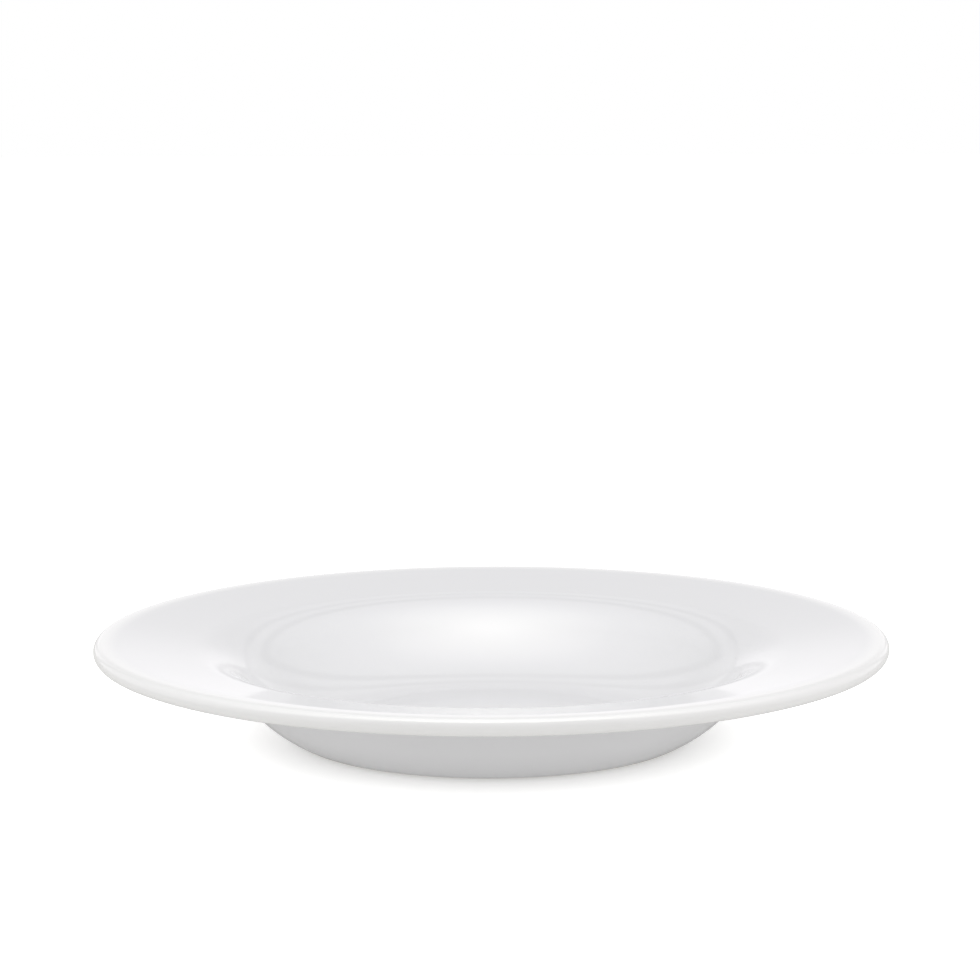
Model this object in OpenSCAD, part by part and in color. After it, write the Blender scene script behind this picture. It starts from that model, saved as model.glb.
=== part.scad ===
// Rimmed soup plate: a turned porcelain body under a thin coat of glaze.
// The whole plate is one section, drawn from the axis outwards and spun about +Z.
// The plate stands on z = 0, with its axis at the origin.

/* [Plate] */
// Outer diameter, over the lip
plate_d = 230; // [210:1:280]
// Overall height, from the foot to the top of the lip
plate_h = 30; // [26:0.5:36]

/* [Rim] */
// Thickness of the lip, which is a full round
lip_t = 5; // [4:0.1:6.5]
// Radius of the rim's roll over into the lip
roll_r = 36; // [10:1:50]
// Rise of the rim towards the lip, in degrees
rim_angle = 8; // [5:0.1:10]
// Thickness of the rim, where the shoulder starts
rim_t = 4; // [3.4:0.1:5]

/* [Well] */
// Diameter of the well's mouth, where the rim ends and the shoulder starts
well_d = 173; // [160:0.5:190]
// Radius of the shoulder between rim and well
shoulder_r = 25; // [14:0.5:32]
// Steepest slope of the well's wall, in degrees
well_angle = 49; // [42:0.5:54]
// Thickness of the well's wall, where the shoulder ends
wall_t = 4.8; // [4:0.1:6]
// Thickness of the well's floor
floor_t = 3.2; // [2.8:0.1:6]

/* [Underside] */
// Slope of the outside of the well's wall, in degrees
outside_angle = 47; // [43:0.5:52]
// Slope of the outside where it leaves the foot, in degrees
foot_angle = 22.7; // [15:0.1:28]
// Radius of the outside just above the foot
heel_r = 43; // [30:0.5:46]
// Radius of the hollow bend under the shoulder
under_r = 14; // [5:0.5:20]

/* [Foot] */
// Width of the ring that the plate stands on
foot_w = 4.5; // [3:0.1:8]
// Height of the recess inside the foot ring
foot_h = 1; // [0.8:0.1:2]
// Radius of the cove between the foot ring and its recess
cove_r = 3; // [2.6:0.1:6]

/* [Glaze] */
// Thickness of the glaze
glaze_t = 0.3; // [0.15:0.05:0.5]
// Height above the table at which the glaze is wiped off the foot
bare_h = 0.5; // [0.3:0.05:0.7]

/* [Hidden] */
// Largest gap between a round stretch and the short lines that draw it
smoothness = 0.005;
// Steps of a full turn about the axis
$fn = 180;

porcelain_white = [0.93, 0.93, 0.92];
glaze_white = [0.97, 0.97, 0.97];

// Unit vector square to a surface that rises outwards by an angle, pointing to its upper side
function up(angle) = [-sin(angle), cos(angle)];

// Slope of the line that has point a at distance da below its upper side and point b at distance db
function tangent_slope(a, da, b, db) =
    let (gap = a - b)
    atan2(gap.y, gap.x) - asin((da - db) / norm(gap));

// Point that lies at height h1 along up(s1) and at height h2 along up(s2)
function crossing(s1, h1, s2, h2) =
    [h1 * cos(s2) - h2 * cos(s1), h1 * sin(s2) - h2 * sin(s1)] / sin(s2 - s1);

// Points of an arc about a centre, on its upper side if r is positive, as the slope goes from s1 to s2
function arc(centre, r, s1, s2) =
    let (steps = max(2, ceil(abs(s2 - s1) / (2 * acos(1 - smoothness / abs(r))))))
    [for (i = [0 : steps]) centre + r * up(s1 + (s2 - s1) * i / steps)];

// Points of an arc that goes on from the last point drawn, so without its first
function arc_on(centre, r, s1, s2) =
    let (points = arc(centre, r, s1, s2))
    [for (i = [1 : len(points) - 1]) points[i]];

function reversed(points) = [for (i = [len(points) - 1 : -1 : 0]) points[i]];

// Upper side: lip, roll, rim, shoulder, well and floor
lip_r = lip_t / 2;
lip_c = [plate_d / 2 - lip_r, plate_h - lip_r];
roll_c = [lip_c.x, plate_h - roll_r];
rim_end = roll_c + roll_r * up(rim_angle);
rim_start = [well_d / 2, rim_end.y - (rim_end.x - well_d / 2) * tan(rim_angle)];
shoulder_c = rim_start - shoulder_r * up(rim_angle);
shoulder_end = shoulder_c + shoulder_r * up(well_angle);
floor_z = foot_h + floor_t;
well_r = (shoulder_end.y - floor_z) / (1 - cos(well_angle));
well_c = shoulder_end + well_r * up(well_angle);

// Underside: rim, bend under the shoulder, outer wall, heel and foot, whose place follows from the wall
rim_under_slope = tangent_slope(lip_c, lip_r, rim_start, rim_t);
outside = shoulder_end * up(outside_angle) - wall_t;
under_c = crossing(
    rim_under_slope, rim_start * up(rim_under_slope) - rim_t - under_r,
    outside_angle, outside - under_r);
heel_z = (heel_r - glaze_t) * cos(foot_angle);
heel_c = [(heel_z * cos(outside_angle) - outside - heel_r) / sin(outside_angle), heel_z];
foot_r = heel_c.x + (heel_r - glaze_t) * sin(foot_angle);
bare_slope = acos((heel_z - bare_h) / heel_r);

// Recess: the cove's centre lies below the table, on the side of the axis
cove_z = foot_h - cove_r;
cove_c = [foot_r - foot_w - sqrt(pow(cove_r + glaze_t, 2) - pow(cove_z, 2)), cove_z];
bare_cove_slope = -acos((bare_h - cove_z) / cove_r);
foot_cove_slope = -acos(-cove_z / (cove_r + glaze_t));

// Glazed outline from the wiped line, round the lip, to the axis, moved inwards by an inset
function skin(inset) = concat(
    arc(heel_c, -(heel_r - inset), bare_slope, outside_angle),
    arc(under_c, under_r + inset, outside_angle, rim_under_slope),
    arc(lip_c, lip_r - inset, rim_under_slope - 180, 0),
    arc_on(roll_c, roll_r - inset, 0, rim_angle),
    arc(shoulder_c, shoulder_r - inset, rim_angle, well_angle),
    arc_on(well_c, -(well_r + inset), well_angle, 0),
    [[0, floor_z - inset]]
);

// Glazed outline of the recess, from the axis to the wiped line, moved inwards by an inset
function recess(inset) = concat(
    [[0, foot_h + inset]],
    arc(cove_c, cove_r + inset, 0, bare_cove_slope)
);

// Bare foot between the two wiped lines, with the ring that the plate stands on
function bare_foot() = concat(
    arc_on(cove_c, cove_r + glaze_t, bare_cove_slope, foot_cove_slope),
    reversed(arc_on(heel_c, -(heel_r - glaze_t), bare_slope, foot_angle))
);

// Pressed and fired body, bare where it stands
module porcelain_body() {
    color(porcelain_white)
        rotate_extrude()
            polygon(concat(recess(glaze_t), bare_foot(), skin(glaze_t)));
}

// Glaze over the top, the lip and the outside, down to the wiped line
module glaze_coat() {
    color(glaze_white)
        rotate_extrude()
            polygon(concat(skin(0), reversed(skin(glaze_t))));
}

// Patch of glaze inside the foot ring
module foot_recess_glaze() {
    color(glaze_white)
        rotate_extrude()
            polygon(concat(recess(0), reversed(recess(glaze_t))));
}

porcelain_body();
glaze_coat();
foot_recess_glaze();
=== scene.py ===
# %% [markdown]
# This lesson dresses a white porcelain soup plate. The real plate is clay that a roller presses onto a
# turning mould, so the whole shape is one section spun about an axis. After a first firing it is dipped
# in glaze, and a sponge wipes the foot clean, so that the plate doesn't stick to the kiln shelf. The
# lesson follows the same order: section, body, glaze, finish, and then a small studio to look at it in.

# %% Tools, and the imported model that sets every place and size
from math import acos, asin, atan2, ceil, cos, degrees, pi, radians, sin, sqrt, tan

import bmesh
import bpy
from mathutils import Matrix, Vector


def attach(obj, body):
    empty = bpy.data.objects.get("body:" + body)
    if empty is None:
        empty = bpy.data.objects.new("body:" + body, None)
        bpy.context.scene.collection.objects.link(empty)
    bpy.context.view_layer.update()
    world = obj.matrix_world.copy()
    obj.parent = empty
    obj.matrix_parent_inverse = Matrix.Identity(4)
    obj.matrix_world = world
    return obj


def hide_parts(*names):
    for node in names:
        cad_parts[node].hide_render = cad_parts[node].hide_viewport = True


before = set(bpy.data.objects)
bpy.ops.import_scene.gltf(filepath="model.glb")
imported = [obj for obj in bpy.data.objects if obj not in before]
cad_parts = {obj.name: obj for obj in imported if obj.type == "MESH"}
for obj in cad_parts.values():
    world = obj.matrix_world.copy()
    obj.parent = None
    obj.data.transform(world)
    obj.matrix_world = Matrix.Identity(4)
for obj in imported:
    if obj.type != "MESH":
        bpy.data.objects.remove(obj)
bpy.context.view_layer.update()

# %% [markdown]
# The camera comes first, because everything is judged through it. A plate's outline is two nested
# ellipses, and their heights give the viewing angle: here about eleven degrees above the table. The lens
# is long, as for table ware, so the near and the far rim are almost the same width. The camera aims a
# little above the plate, which sits low in the square frame.

# %% Camera
LIP_CENTRE = Vector((0, 0, 0.02744))
camera_distance = 1.0
camera_height = radians(11.273)
aim_up = radians(2.532)
aim_aside = radians(-0.196)
camera_roll = radians(0.0205)
lens, film_width = 126.3, 36

camera_data = bpy.data.cameras.new("camera")
camera_data.lens = lens
camera_data.sensor_width = film_width
camera_data.clip_start = 0.01
camera = bpy.data.objects.new("camera", camera_data)
bpy.context.collection.objects.link(camera)
camera.matrix_world = (
    Matrix.Translation(LIP_CENTRE + camera_distance * Vector((0, -cos(camera_height), sin(camera_height))))
    @ Matrix.Rotation(radians(90) - camera_height, 4, "X")
    @ Matrix.Rotation(aim_aside, 4, "Z")
    @ Matrix.Rotation(aim_up, 4, "X")
    @ Matrix.Rotation(camera_roll, 4, "Y"))
bpy.context.scene.camera = camera
print("camera at", [round(v, 4) for v in camera.location], "lens", lens)

# %% [markdown]
# Now the section. A potter's template is made of arcs that run into each other without a kink: the round
# lip, the roll behind it, the straight rim, the soft shoulder, the hollow of the well and the flat floor;
# and underneath the heel above the foot and the hollow bend below the shoulder. The sizes below are the
# solid model's own, in metres. Each arc's centre follows from its neighbours, so nothing is placed by eye.

# %% Sizes of the section
MM = 0.001
plate_d, plate_h = 230 * MM, 30 * MM
lip_t, roll_r, rim_angle, rim_t = 5 * MM, 36 * MM, radians(8), 4 * MM
well_d, shoulder_r, well_angle, wall_t, floor_t = 173 * MM, 25 * MM, radians(49), 4.8 * MM, 3.2 * MM
outside_angle, foot_angle, heel_r, under_r = radians(47), radians(22.7), 43 * MM, 14 * MM
foot_w, foot_h, cove_r = 4.5 * MM, 1 * MM, 3 * MM
glaze_t, bare_h = 0.3 * MM, 0.5 * MM


def up(slope):
    """Unit vector square to a surface that rises outwards by a slope, pointing to its upper side."""
    return Vector((-sin(slope), cos(slope)))


lip_r = lip_t / 2
lip_c = Vector((plate_d / 2 - lip_r, plate_h - lip_r))
roll_c = Vector((lip_c.x, plate_h - roll_r))
rim_end = roll_c + roll_r * up(rim_angle)
rim_start = Vector((well_d / 2, rim_end.y - (rim_end.x - well_d / 2) * tan(rim_angle)))
shoulder_c = rim_start - shoulder_r * up(rim_angle)
shoulder_end = shoulder_c + shoulder_r * up(well_angle)
floor_z = foot_h + floor_t
well_r = (shoulder_end.y - floor_z) / (1 - cos(well_angle))
well_c = shoulder_end + well_r * up(well_angle)
print("well arc of", round(well_r / MM, 2), "mm, floor", round(well_c.x / MM, 2), "mm in radius")

# %% Sizes of the underside and of the foot
rim_gap = lip_c - rim_start
rim_under_slope = atan2(rim_gap.y, rim_gap.x) - asin((lip_r - rim_t) / rim_gap.length)
outside = shoulder_end.dot(up(outside_angle)) - wall_t
under_rim = rim_start.dot(up(rim_under_slope)) - rim_t
bend = outside_angle - rim_under_slope
under_c = Vector((
    (under_rim - under_r) * cos(outside_angle) - (outside - under_r) * cos(rim_under_slope),
    (under_rim - under_r) * sin(outside_angle) - (outside - under_r) * sin(rim_under_slope))) / sin(bend)
heel_z = (heel_r - glaze_t) * cos(foot_angle)
heel_c = Vector(((heel_z * cos(outside_angle) - outside - heel_r) / sin(outside_angle), heel_z))
foot_r = heel_c.x + (heel_r - glaze_t) * sin(foot_angle)
bare_slope = acos((heel_z - bare_h) / heel_r)
cove_z = foot_h - cove_r
cove_c = Vector((foot_r - foot_w - sqrt((cove_r + glaze_t)**2 - cove_z**2), cove_z))
bare_cove_slope = -acos((bare_h - cove_z) / cove_r)
foot_cove_slope = -acos(-cove_z / (cove_r + glaze_t))
print("foot", round(foot_r / MM, 2), "mm in radius, rim rises below by", round(degrees(rim_under_slope), 2))

# %% [markdown]
# A section could be typed in as a list of points, but then every change means new points. Drawing it as a
# draughtsman does needs only two tools: a compass and a ruler. The compass is the spin operator on a
# single vertex, which leaves a chain of edges behind it. The ruler extrudes the vertex in short lengths,
# because long faces beside short ones shade unevenly.

# %% Compass and ruler
def pen_down(section, place):
    """First vertex of a chain, at a radius and a height."""
    return bmesh.ops.create_vert(section, co=(place.x, 0, place.y))["vert"][0]


def compass(section, pen, centre, turn, step):
    """Carries the pen round a centre, in steps of at most a given angle."""
    made = bmesh.ops.spin(
        section, geom=[pen], cent=(centre.x, 0, centre.y), axis=(0, -1, 0), angle=turn,
        steps=max(2, ceil(abs(turn) / step)), use_merge=False, use_duplicate=False)
    return next(item for item in made["geom_last"] if isinstance(item, bmesh.types.BMVert))


def ruler(section, pen, place, stretch):
    """Draws straight to a place, in stretches of at most a given length."""
    way = Vector((place.x, 0, place.y)) - pen.co
    stretches = ceil(way.length / stretch)
    for _ in range(stretches):
        pen = bmesh.ops.extrude_vert_indiv(section, verts=[pen])["verts"][0]
        bmesh.ops.translate(section, verts=[pen], vec=way / stretches)
    return pen


# %% [markdown]
# The skin is the glazed side of the section, from the wiped line above the foot, up the outside, round
# the lip and down into the well. The glaze lies on it and the clay lies under it, so both pieces draw it,
# each with its own inset: none for the glaze's surface, and the glaze's thickness for the clay.

# %% Glazed side of the section
def draw_skin(section, pen, inset, step, stretch):
    """Goes on from a pen on the heel, at the given inset, to the axis."""
    pen = ruler(section, pen, under_c + (under_r + inset) * up(outside_angle), stretch)
    pen = compass(section, pen, under_c, rim_under_slope - outside_angle, step)
    pen = ruler(section, pen, lip_c - (lip_r - inset) * up(rim_under_slope), stretch)
    pen = compass(section, pen, lip_c, pi - rim_under_slope, 3 * step)
    pen = compass(section, pen, roll_c, rim_angle, step / 2)
    pen = ruler(section, pen, shoulder_c + (shoulder_r - inset) * up(rim_angle), stretch)
    pen = compass(section, pen, shoulder_c, well_angle - rim_angle, step / 2)
    pen = compass(section, pen, well_c, -well_angle, step)
    ruler(section, pen, Vector((0, floor_z - inset)), stretch)


def draw_heel(section, inset, start, step):
    """Starts on the heel at a slope and goes up to the straight of the wall."""
    first = pen_down(section, heel_c - (heel_r - inset) * up(start))
    return first, compass(section, first, heel_c, outside_angle - start, step)


# %% [markdown]
# A lathe in Blender is one more spin, this time of the whole section about the upright axis. The copies
# that land on the axis and on the first row are merged, and then the faces are turned outwards. Shading
# is smooth, apart from edges sharper than a given angle, such as the glaze's cut edge above the foot.

# %% Lathe
TURN_STEPS = 320
SHARP = radians(40)
weld_gap, shortest_edge = 1e-6, 1e-7


def lathe(section, name):
    """Spins a section about the axis and returns it as an object."""
    bmesh.ops.spin(
        section, geom=section.verts[:] + section.edges[:], cent=(0, 0, 0), axis=(0, 0, 1),
        angle=2 * pi, steps=TURN_STEPS, use_merge=True, use_duplicate=False)
    bmesh.ops.remove_doubles(section, verts=section.verts[:], dist=weld_gap)
    bmesh.ops.dissolve_degenerate(section, edges=section.edges[:], dist=shortest_edge)
    bmesh.ops.recalc_face_normals(section, faces=section.faces[:])
    mesh = bpy.data.meshes.new(name)
    section.to_mesh(mesh)
    section.free()
    mesh.polygons.foreach_set("use_smooth", [True] * len(mesh.polygons))
    mesh.set_sharp_from_angle(angle=SHARP)
    piece = bpy.data.objects.new(name, mesh)
    bpy.context.collection.objects.link(piece)
    print(name, len(mesh.polygons), "faces", len(mesh.loops) - 2 * len(mesh.polygons), "triangles")
    return piece


# %% [markdown]
# The clay body shows only at the foot ring, a band a few millimetres wide. Its two edges are what touches
# the table, and on a real plate they are rubbed smooth after firing. A small bevel on the two corners of
# the section, before it is spun, gives that rounding all the way round.

# %% Porcelain body with its bare foot ring
FINE, SMALL_ARC, COARSE = radians(1.6), radians(4.8), radians(8)
SHORT, LONG = 2 * MM, 8 * MM
foot_rounding = 0.35 * MM


def soften(section, corners, size):
    """Rounds corners of a section before it is spun."""
    bmesh.ops.bevel(
        section, geom=corners, offset=size, offset_type="OFFSET", segments=4, profile=0.5,
        affect="VERTICES", material=-1)


section = bmesh.new()
pen = pen_down(section, Vector((0, foot_h + glaze_t)))
pen = ruler(section, pen, Vector((cove_c.x, foot_h + glaze_t)), LONG)
inner_edge = compass(section, pen, cove_c, foot_cove_slope, SMALL_ARC)
outer_edge = ruler(section, inner_edge, Vector((foot_r, 0)), SHORT)
pen = compass(section, outer_edge, heel_c, outside_angle - foot_angle, FINE)
draw_skin(section, pen, glaze_t, COARSE, LONG)
soften(section, [inner_edge, outer_edge], foot_rounding)
body = lathe(section, "plate_body")

# %% [markdown]
# The glaze is a coat a third of a millimetre thick. A copy of the body with another colour would look the
# same in a picture, but a real coat has two sides and an edge, and the edge shows above the foot. So the
# section is drawn twice, at the surface and at the clay, and one short edge joins them at the wiped line.
# Glaze that melts there draws itself into a soft bead, which is another small bevel.

# %% Coat of glaze over the top, the lip and the outside
bead = 0.16 * MM

section = bmesh.new()
surface, pen = draw_heel(section, 0, bare_slope, FINE)
draw_skin(section, pen, 0, FINE, SHORT)
clay_side, pen = draw_heel(section, glaze_t, bare_slope, COARSE)
draw_skin(section, pen, glaze_t, COARSE, LONG)
section.edges.new((surface, clay_side))
soften(section, [surface], bead)
coat = lathe(section, "plate_glaze")

# %% [markdown]
# Inside the foot ring lies a second patch of glaze. The bare ring parts it from the coat outside, so it
# is a piece of its own, made in the same way: two sides, one edge, one bead.

# %% Glaze in the recess of the foot
section = bmesh.new()
pen = pen_down(section, Vector((0, foot_h)))
pen = ruler(section, pen, Vector((cove_c.x, foot_h)), LONG)
surface = compass(section, pen, cove_c, bare_cove_slope, SMALL_ARC)
pen = pen_down(section, Vector((0, foot_h + glaze_t)))
pen = ruler(section, pen, Vector((cove_c.x, foot_h + glaze_t)), LONG)
clay_side = compass(section, pen, cove_c, bare_cove_slope, SMALL_ARC)
section.edges.new((surface, clay_side))
soften(section, [surface], bead)
recess = lathe(section, "recess_glaze")

# %% [markdown]
# Each piece now stands for its solid: the solid stays hidden for collision, the piece shows. A plate has
# no joints, so all three ride on the one body.

# %% Tie the pieces to the frame
for piece, node, slot in (
        (body, "porcelain_body", "biscuit"),
        (coat, "glaze_coat", "glaze"),
        (recess, "foot_recess_glaze", "glaze")):
    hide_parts(node)
    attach(piece, "root")
    print(piece.name, "stands for", node)

# %% [markdown]
# Fired clay and fired glaze share two marks of the kiln: a surface that is never quite even, and a few
# tiny specks of iron or ash. Both come from one node group, with its own scale in each finish. The waves
# are two noises, one over the other. The specks are the middles of a few cells of a cell pattern: each
# cell has a random colour, and only cells above a limit keep their speck.

# %% Helpers for nodes
def node(tree, kind, **settings):
    """New node with some of its settings."""
    made = tree.nodes.new(kind)
    for name, value in settings.items():
        setattr(made, name, value)
    return made


def wire(tree, source, target):
    """Link from an output to an input, or a plain number into the input."""
    if isinstance(source, (int, float)):
        target.default_value = source
    else:
        tree.links.new(source, target)


def maths(tree, operation, first, second):
    """Output of a math node."""
    made = node(tree, "ShaderNodeMath", operation=operation)
    wire(tree, first, made.inputs[0])
    wire(tree, second, made.inputs[1])
    return made.outputs[0]


def span(tree, value, low, high, to_low, to_high):
    """Output of a smooth step from one range to another."""
    made = node(tree, "ShaderNodeMapRange", interpolation_type="SMOOTHSTEP")
    for socket, source in zip(made.inputs, (value, low, high, to_low, to_high)):
        wire(tree, source, socket)
    return made.outputs[0]


print("helpers for nodes: node, wire, maths and span")

# %% Group of kiln marks
WAVE_STEPS = 1, 4
wave_detail = 2

kiln = bpy.data.node_groups.new("kiln marks", "ShaderNodeTree")
for name, kind in (("Place", "NodeSocketVector"), ("Wave scale", "NodeSocketFloat"),
                   ("Fine share", "NodeSocketFloat"), ("Speck scale", "NodeSocketFloat"),
                   ("Speck size", "NodeSocketFloat"), ("Speck limit", "NodeSocketFloat")):
    kiln.interface.new_socket(name, in_out="INPUT", socket_type=kind)
for name in ("Waves", "Specks"):
    kiln.interface.new_socket(name, in_out="OUTPUT", socket_type="NodeSocketFloat")
given, result = node(kiln, "NodeGroupInput"), node(kiln, "NodeGroupOutput")
waves = []
for finer in WAVE_STEPS:
    noise = node(kiln, "ShaderNodeTexNoise")
    noise.inputs["Detail"].default_value = wave_detail
    kiln.links.new(given.outputs["Place"], noise.inputs["Vector"])
    kiln.links.new(maths(kiln, "MULTIPLY", given.outputs["Wave scale"], finer), noise.inputs["Scale"])
    waves.append(noise.outputs[0])
fine_waves = maths(kiln, "MULTIPLY", waves[1], given.outputs["Fine share"])
kiln.links.new(maths(kiln, "ADD", waves[0], fine_waves), result.inputs["Waves"])
cells = node(kiln, "ShaderNodeTexVoronoi")
kiln.links.new(given.outputs["Place"], cells.inputs["Vector"])
kiln.links.new(given.outputs["Speck scale"], cells.inputs["Scale"])
pick = node(kiln, "ShaderNodeSeparateColor")
kiln.links.new(cells.outputs["Color"], pick.inputs[0])
chosen = maths(kiln, "GREATER_THAN", pick.outputs[0], given.outputs["Speck limit"])
dot = span(kiln, cells.outputs["Distance"], 0, given.outputs["Speck size"], 1, 0)
kiln.links.new(maths(kiln, "MULTIPLY", chosen, dot), result.inputs["Specks"])
print("group", kiln.name, "with", len(kiln.nodes), "nodes")

# %% [markdown]
# The glaze is clear glass over white clay, so it is a plain shader with a white base and a sharp gloss.
# What makes it look fired is small. Waves of a few thousandths of a millimetre bend the reflections, and
# the gloss varies a little. The white also carries painted light and shade: it is painted darker and a
# trace cooler on the flat floor, the rim and the shoulder, where the darker band also deepens a mirrored
# dark ring, and painted lighter on the steep wall and over the lip. One measure, the distance to the axis,
# tells these places apart.

# %% Helpers for finishes
def new_finish(name):
    """Material with its tree, its shader and a place in object space."""
    material = bpy.data.materials.new(name)
    material.use_nodes = True
    tree = material.node_tree
    place = node(tree, "ShaderNodeTexCoord").outputs["Object"]
    return material, tree, tree.nodes["Principled BSDF"], place


def kiln_marks(tree, place, **values):
    """Group node of the kiln marks with its values."""
    marks = node(tree, "ShaderNodeGroup", node_tree=kiln)
    tree.links.new(place, marks.inputs["Place"])
    for name, value in values.items():
        marks.inputs[name.replace("_", " ")].default_value = value
    return marks


def blend(tree, share, first, second):
    """Colour between two colours, each a socket or a list of numbers."""
    made = node(tree, "ShaderNodeMix", data_type="RGBA")
    tree.links.new(share, made.inputs["Factor"])
    for socket, colour in ((made.inputs[6], first), (made.inputs[7], second)):
        if isinstance(colour, tuple):
            socket.default_value = (*colour, 1)
        else:
            tree.links.new(colour, socket)
    return made.outputs[2]


def ripple(tree, shader, marks, strength, depth):
    """Turns the waves of the kiln marks into bumps of a given depth."""
    bump = node(tree, "ShaderNodeBump")
    bump.inputs["Strength"].default_value = strength
    bump.inputs["Distance"].default_value = depth
    tree.links.new(marks.outputs["Waves"], bump.inputs["Height"])
    tree.links.new(bump.outputs[0], shader.inputs["Normal"])


print("helpers for finishes: new_finish, kiln_marks, blend and ripple")

# %% Glaze
# Painted light and shade in the white: darker on the rim and shoulder, lighter on the wall, darkest on the
# floor, lightest on the lip
SHADED_RIM_WHITE = (0.85, 0.849, 0.864)
LIT_WALL_WHITE = (0.892, 0.892, 0.904)
SHADED_FLOOR_WHITE = (0.818, 0.817, 0.832)
LIT_LIP_WHITE = (0.965, 0.961, 0.958)
SPECK = (0.55, 0.53, 0.5)
FLOOR_EDGE = well_c.x, well_c.x + 14 * MM
WALL_TOP = shoulder_end.x - 2 * MM, shoulder_end.x + 11 * MM
LIP_EDGE = rim_end.x, lip_c.x
GLAZE_WAVES = 0.3, 0.8
sharpest, dullest = 0.02, 0.05
ripple_strength, ripple_depth = 1, 0.006 * MM

glaze, tree, shader, place = new_finish("clear glaze on white porcelain")
shader.inputs["IOR"].default_value = 1.52
marks = kiln_marks(
    tree, place, Wave_scale=110, Fine_share=0.12, Speck_scale=55, Speck_size=0.014, Speck_limit=0.93)
flat = node(tree, "ShaderNodeVectorMath", operation="MULTIPLY")
flat.inputs[1].default_value = (1, 1, 0)
tree.links.new(place, flat.inputs[0])
reach = node(tree, "ShaderNodeVectorMath", operation="LENGTH")
tree.links.new(flat.outputs[0], reach.inputs[0])
# Shares by distance from the axis that place the painted light and shade of the white
on_wall = span(tree, reach.outputs["Value"], *WALL_TOP, 1, 0)
off_floor = span(tree, reach.outputs["Value"], *FLOOR_EDGE, 0, 1)
toward_lip = span(tree, reach.outputs["Value"], *LIP_EDGE, 0, 1)
white = blend(tree, on_wall, SHADED_RIM_WHITE, LIT_WALL_WHITE)
white = blend(tree, off_floor, SHADED_FLOOR_WHITE, white)
white = blend(tree, toward_lip, white, LIT_LIP_WHITE)
white = blend(tree, marks.outputs["Specks"], white, SPECK)
tree.links.new(white, shader.inputs["Base Color"])
gloss = span(tree, marks.outputs["Waves"], *GLAZE_WAVES, sharpest, dullest)
tree.links.new(gloss, shader.inputs["Roughness"])
ripple(tree, shader, marks, ripple_strength, ripple_depth)
for piece in (coat, recess):
    piece.data.materials.append(glaze)
print("glaze on", coat.name, "and", recess.name)

# %% [markdown]
# Bare porcelain is matt and a little warm, with a grain that can be felt with a fingernail. The ring that
# slides on tables picks up a grey bloom, strongest at its lowest band, so the height above the table
# blends that in.

# %% Bare porcelain
BARE = (0.80, 0.785, 0.755)
BARE_PALE = (0.85, 0.84, 0.815)
SCUFFED = (0.62, 0.61, 0.6)
GRAIN_WAVES = 0.5, 1.2
rub_height, rub_share = 0.25 * MM, 0.7
grain_strength, grain_depth = 0.6, 0.06 * MM

biscuit, tree, shader, place = new_finish("bare fired porcelain")
shader.inputs["Roughness"].default_value = 0.78
shader.inputs["IOR"].default_value = 1.5
marks = kiln_marks(
    tree, place, Wave_scale=900, Fine_share=0.7, Speck_scale=320, Speck_size=0.11, Speck_limit=0.86)
clay = blend(tree, span(tree, marks.outputs["Waves"], *GRAIN_WAVES, 0, 1), BARE, BARE_PALE)
height = node(tree, "ShaderNodeSeparateXYZ")
tree.links.new(place, height.inputs[0])
rub = span(tree, height.outputs["Z"], 0, rub_height, rub_share, 0)
clay = blend(tree, maths(tree, "MULTIPLY", rub, marks.outputs["Waves"]), clay, SCUFFED)
clay = blend(tree, marks.outputs["Specks"], clay, SPECK)
tree.links.new(clay, shader.inputs["Base Color"])
ripple(tree, shader, marks, grain_strength, grain_depth)
body.data.materials.append(biscuit)
print("biscuit on", body.name)

# %% [markdown]
# White table ware on white is shown by its reflections, so the studio matters as much as the finish. The
# table is a pale sheet of the milky kind that is lit a little from below, where the plate stands: a faint
# glow of its own fills the underside of the plate. To the eye the open sheet is plain white. A stronger
# lamp could do that, but it would burn out the plate too, so an emission that only the camera sees lifts
# the sheet instead. Ambient occlusion takes that lift away close to the plate, and the plate keeps its
# soft shadow.

# %% Table
TABLE_HALF = 3.0

section = bmesh.new()
bmesh.ops.create_grid(section, x_segments=1, y_segments=1, size=TABLE_HALF)
mesh = bpy.data.meshes.new("table")
section.to_mesh(mesh)
section.free()
table = bpy.data.objects.new("table", mesh)
bpy.context.collection.objects.link(table)
print("table of", 2 * TABLE_HALF, "m")

# %% White sheet on the table
TABLE_WHITE = (0.755, 0.752, 0.738)
shadow_reach, open_air = 0.03, 0.76
near_glow, far_glow = 0.24, 0.055
GLOW_RING = 0.1, 0.145
SHADOW_LIFT, OPEN_LIFT, MIRROR_LIFT = 0.05, 0.95, 0.03

sheet = bpy.data.materials.new("white sheet")
sheet.use_nodes = True
tree = sheet.node_tree
tree.nodes.clear()
matt = node(tree, "ShaderNodeBsdfDiffuse")
matt.inputs["Color"].default_value = (*TABLE_WHITE, 1)
lift = node(tree, "ShaderNodeEmission")
path = node(tree, "ShaderNodeLightPath")
mirror_ray = maths(tree, "MAXIMUM", path.outputs["Is Glossy Ray"], path.outputs["Is Transmission Ray"])
cover = node(tree, "ShaderNodeAmbientOcclusion")
cover.inputs["Distance"].default_value = shadow_reach
seen = span(tree, cover.outputs["AO"], 0, open_air, SHADOW_LIFT, OPEN_LIFT)
seen = maths(tree, "MULTIPLY", path.outputs["Is Camera Ray"], seen)
distance = node(tree, "ShaderNodeVectorMath", operation="LENGTH")
tree.links.new(node(tree, "ShaderNodeTexCoord").outputs["Object"], distance.inputs[0])
pool = span(tree, distance.outputs["Value"], *GLOW_RING, near_glow, far_glow)
glow = span(tree, mirror_ray, 0, 1, pool, MIRROR_LIFT)
wire(tree, maths(tree, "ADD", seen, glow), lift.inputs["Strength"])
both = node(tree, "ShaderNodeAddShader")
tree.links.new(matt.outputs[0], both.inputs[0])
tree.links.new(lift.outputs[0], both.inputs[1])
tree.links.new(both.outputs[0], node(tree, "ShaderNodeOutputMaterial").inputs[0])
mesh.materials.append(sheet)
print("sheet with", len(tree.nodes), "nodes")

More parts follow.
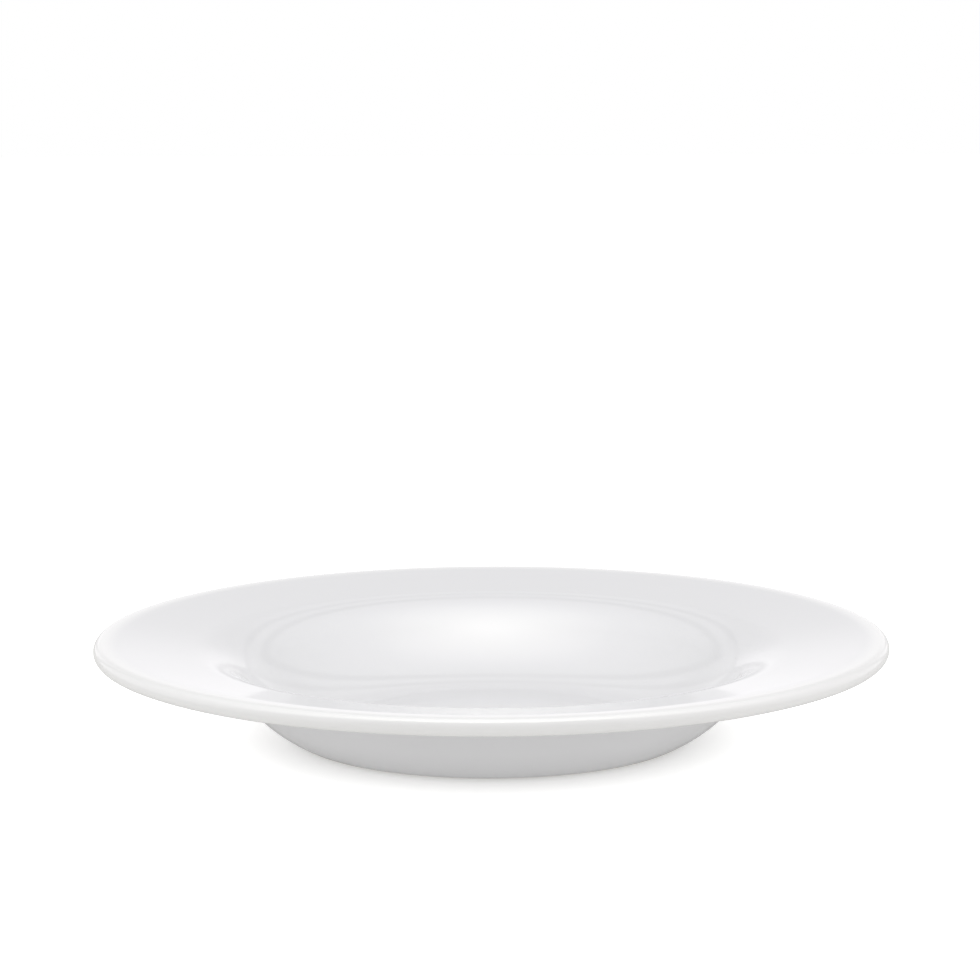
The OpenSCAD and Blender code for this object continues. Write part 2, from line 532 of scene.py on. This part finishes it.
# %% [markdown]
# Glossy white ware is photographed in a tent of white cloth, which lights it from all round and leaves
# nothing but cloth to mirror. Real cloth could be modelled and lit, at the price of slow and noisy
# renders. Here the tent is drawn in the world, as brightness by direction, and one soft lamp overhead
# joins it. The lamp is left out of reflections, because the tent's own glow is what the glaze shows.

# %% Lamp
lamp_place = Vector((0, 0.05, 1.3))
lamp_size = 1.0
lamp_radiance = 0.3

lamp_data = bpy.data.lights.new("overhead lamp", "AREA")
lamp_data.shape = "DISK"
lamp_data.size = lamp_size
lamp_data.energy = lamp_radiance * pi * pi * lamp_size**2 / 4
lamp = bpy.data.objects.new("overhead lamp", lamp_data)
bpy.context.collection.objects.link(lamp)
lamp.location = lamp_place
lamp.rotation_euler = (-lamp_place).to_track_quat("-Z", "Y").to_euler()
lamp.visible_glossy = False
print("lamp of", lamp_size, "m at", list(lamp_place))

# %% [markdown]
# The world holds two pictures of the tent, one for matt light and one for mirrors. Both are brightness by
# direction. They could be painted as images, but a few ramps of brightness by angle stay sharp at any size
# and can be changed by hand. Each ramp is a list of pairs, degrees and level.

# %% World, and brightness by direction
tiny = 0.001

world = bpy.data.worlds.new("studio")
bpy.context.scene.world = world
world.use_nodes = True
tree = world.node_tree
tree.nodes.clear()
towards = node(tree, "ShaderNodeTexCoord").outputs["Generated"]
side = node(tree, "ShaderNodeSeparateXYZ")
tree.links.new(towards, side.inputs[0])


def angle_from(direction):
    """Angle between the ray and a direction, as a share of half a turn."""
    dot = node(tree, "ShaderNodeVectorMath", operation="DOT_PRODUCT")
    tree.links.new(towards, dot.inputs[0])
    dot.inputs[1].default_value = direction
    return maths(tree, "DIVIDE", maths(tree, "ARCCOSINE", dot.outputs["Value"], 0), pi)


def levels(share, stops):
    """Brightness by angle, from pairs of degrees and level."""
    ramp = node(tree, "ShaderNodeValToRGB")
    elements = ramp.color_ramp.elements
    while len(elements) < len(stops):
        elements.new(0.5)
    for element, (angle, level) in zip(elements, stops):
        element.position = angle / 180
        element.color = (level, level, level, 1)
    tree.links.new(share, ramp.inputs[0])
    return ramp.outputs[0]


def by_height(stops):
    """The same stops, given by height above the horizon, as angles from the zenith."""
    return [(90 - height, level) for height, level in reversed(stops)]


def between(share, first, second):
    """Brightness between two pictures."""
    made = node(tree, "ShaderNodeMix")
    for number, source in ((0, share), (2, first), (3, second)):
        tree.links.new(source, made.inputs[number])
    return made.outputs[0]


from_zenith = angle_from((0, 0, 1))
aside = maths(tree, "ABSOLUTE", side.outputs["X"], 0)
forward = maths(tree, "MAXIMUM", maths(tree, "MULTIPLY", side.outputs["Y"], -1), tiny)
from_axis = maths(tree, "DIVIDE", aside, forward)
print("world", world.name, "with", len(tree.nodes), "nodes so far")

# %% [markdown]
# Matt light comes from the plain picture: brightness by height, more from the front than from the back, and
# less through the opening that the camera looks in by. Its level is close to one all round, so the white
# of the glaze renders about as it is written.

# %% Matt light of the tent
TENT = ((-90, 0.9), (0, 1.2), (30, 1.035), (44, 1.058), (90, 1.048))
FRONT_TO_BACK = -0.6, 0.8
front_level, back_level = 1.15, 0.72
OPENING = 0.66, 0.92
opening_level = 0.42

tent = levels(from_zenith, by_height(TENT))
tent = maths(tree, "MULTIPLY", tent, span(tree, from_axis, *OPENING, opening_level, 1))
tent = maths(tree, "MULTIPLY", tent, span(tree, side.outputs["Y"], *FRONT_TO_BACK, front_level, back_level))
print("matt light of", len(TENT), "levels")

# %% [markdown]
# Mirrors see the other picture: a back wall that is brighter towards the table, side walls a little paler
# than it, a front wall with the dark opening, and a warm glow above the table's near edge. Two hoops hold
# the cloth up and draw fine dark rings in the well. They are strongest in the middle and fade to the sides.

# %% Mirrored walls of the tent
BACKDROP = ((-90, 0.9), (0, 1.16), (9, 1.12), (14, 0.97), (20, 0.75), (27, 0.6), (34, 0.7), (42, 0.6),
            (50, 0.35), (60, 0), (90, 0))
ROOM = ((-90, 0.9), (0, 1.05), (12, 1.0), (25, 0.85), (38, 0.9), (50, 0.6), (60, 0), (90, 0))
FRONT_TO_BACKDROP = -0.3, 0.3
opening_mirrored = 0.3
side_walls = 0.3
SIDE_START, SIDE_RISE = (0.56, 0.82), (0.17, 0.42)

room = levels(from_zenith, by_height(ROOM))
room = maths(tree, "MULTIPLY", room, span(tree, from_axis, *OPENING, opening_mirrored, 1))
raised = span(tree, side.outputs["Z"], *SIDE_RISE, 0, 1)
sides = maths(tree, "MULTIPLY", span(tree, aside, *SIDE_START, 0, side_walls), raised)
back_wall = maths(tree, "ADD", levels(from_zenith, by_height(BACKDROP)), sides)
walls = between(span(tree, side.outputs["Y"], *FRONT_TO_BACKDROP, 0, 1), room, back_wall)
print("mirrored walls of", len(BACKDROP), "and", len(ROOM), "levels")

# %% Mirrored glow and hoops
glow_tilt, hoop_tilt = radians(20), radians(17)
GLOW = ((0, 6.9), (6, 6.45), (11, 5.75), (16, 5.15), (20, 4.75), (25, 4.25), (30, 3.75), (35, 3.2),
        (40, 2.6), (45, 2.15), (50, 1.75), (55, 1.35), (60, 0.95), (66, 0.62), (72, 0.4), (80, 0.3),
        (95, 0))
GLOW_EDGE = 0.3, 0.6
glow_past_edge = 0.2
lowest_height = 0.01
BACK_HOOP = ((0, 1), (18, 1), (20, 0.7), (22.5, 0.7), (24.5, 1), (180, 1))
WIDE_HOOP = ((0, 1), (28.5, 1), (31, 0.62), (34, 0.62), (36.5, 1), (180, 1))
BACK_FADE, back_faded = (0.15, 0.4), 1
WIDE_FADE, wide_faded = (0.25, 0.5), 0.72

glow = levels(angle_from((0, -sin(glow_tilt), cos(glow_tilt))), GLOW)
height = maths(tree, "MAXIMUM", side.outputs["Z"], lowest_height)
lean = maths(tree, "DIVIDE", forward, height)
glow = maths(tree, "MULTIPLY", glow, span(tree, lean, *GLOW_EDGE, 1, glow_past_edge))
mirrored = maths(tree, "ADD", walls, glow)
from_hoop = angle_from((0, cos(hoop_tilt), sin(hoop_tilt)))
for hoop, fade, faded in ((WIDE_HOOP, WIDE_FADE, wide_faded), (BACK_HOOP, BACK_FADE, back_faded)):
    line = maths(tree, "MAXIMUM", levels(from_hoop, hoop), span(tree, aside, *fade, 0, faded))
    mirrored = maths(tree, "MULTIPLY", mirrored, line)
print("glow of", len(GLOW), "levels, and 2 hoops")

# %% [markdown]
# Light Path keeps the pictures apart, so the gloss can be shaped without making the white burn out, and
# only light that has met no matt surface yet sees the second one. The brightest part of the mirrored
# picture is a little warm and the rest a little cool. The camera sees plain white.

# %% Join the pictures
WARM, COOL, PLAIN = (1, 0.985, 0.95), (1, 0.987, 1), (1, 1, 1)
WARM_GLOW = 1.5, 5.5

path = node(tree, "ShaderNodeLightPath")
no_matt_yet = maths(tree, "LESS_THAN", path.outputs["Diffuse Depth"], 0.5)
in_gloss = maths(tree, "MULTIPLY", path.outputs["Is Glossy Ray"], no_matt_yet)
tint = blend(tree, span(tree, glow, *WARM_GLOW, 0, 1), COOL, WARM)
shown = maths(tree, "MAXIMUM", between(in_gloss, tent, mirrored), path.outputs["Is Camera Ray"])
background = node(tree, "ShaderNodeBackground")
tree.links.new(blend(tree, in_gloss, PLAIN, tint), background.inputs["Color"])
tree.links.new(shown, background.inputs["Strength"])
tree.links.new(background.outputs[0], node(tree, "ShaderNodeOutputWorld").inputs[0])
print("world with", len(tree.nodes), "nodes")

# %% [markdown]
# Last, the picture is shown as it is lit, without a film look. At the two ends of the well the glaze
# mirrors itself many times over, so gloss gets more bounces than the default four, or a black slit
# appears there.

# %% View and gloss bounces
gloss_bounces = 16

bpy.context.scene.view_settings.view_transform = "Standard"
bpy.context.scene.cycles.glossy_bounces = gloss_bounces
bpy.context.scene.cycles.max_bounces = gloss_bounces
